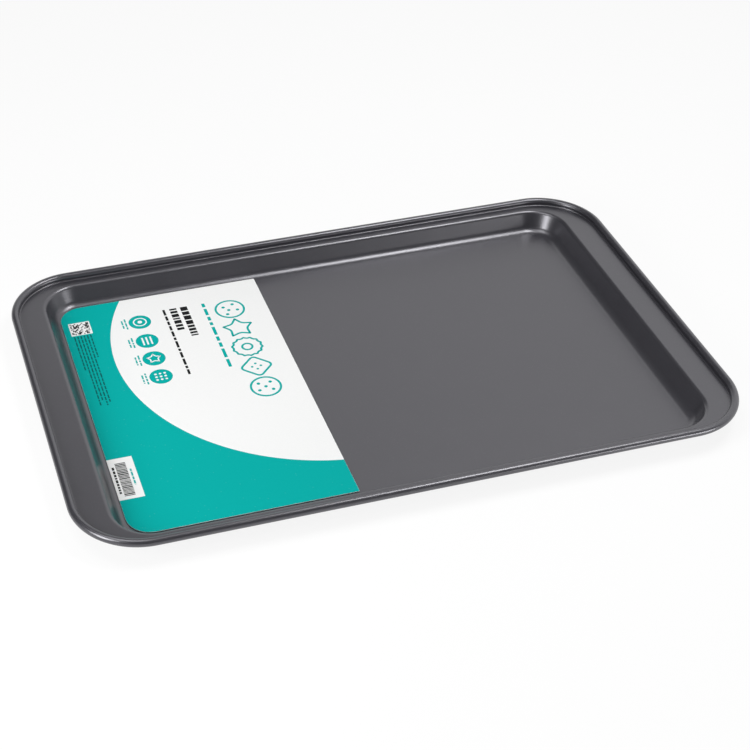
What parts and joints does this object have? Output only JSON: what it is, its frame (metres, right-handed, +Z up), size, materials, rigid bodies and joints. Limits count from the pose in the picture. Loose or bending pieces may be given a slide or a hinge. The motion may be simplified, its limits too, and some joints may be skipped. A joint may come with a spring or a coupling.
{
  "type": "cookie sheet",
  "caption": "Shallow rectangular baking sheet of dark coated steel with wide flat grip ends, a wired rolled edge and a printed card on its floor.",
  "frame": {"origin": "on the table, under the middle of the pan", "axes": "+X along the pan, away from the card; +Y across it; +Z up"},
  "size_m": [0.432, 0.282, 0.0188],
  "materials": {
    "nonstick_coating": "dark grey non-stick coating, satin",
    "wire": "plain drawn steel",
    "card": "white coated card, printed teal",
    "glue": "clear removable glue"
  },
  "bodies": {
    "pan": {"pan": "nonstick_coating", "rim_wire": "wire"},
    "card": {"label_card": "card", "glue_dots": "glue"}
  },
  "joints": [
    {"name": "card_lift", "type": "slide", "parent": "pan", "child": "card", "axis": [0, 0, 1], "range_m": [0, 0.04]}
  ]
}
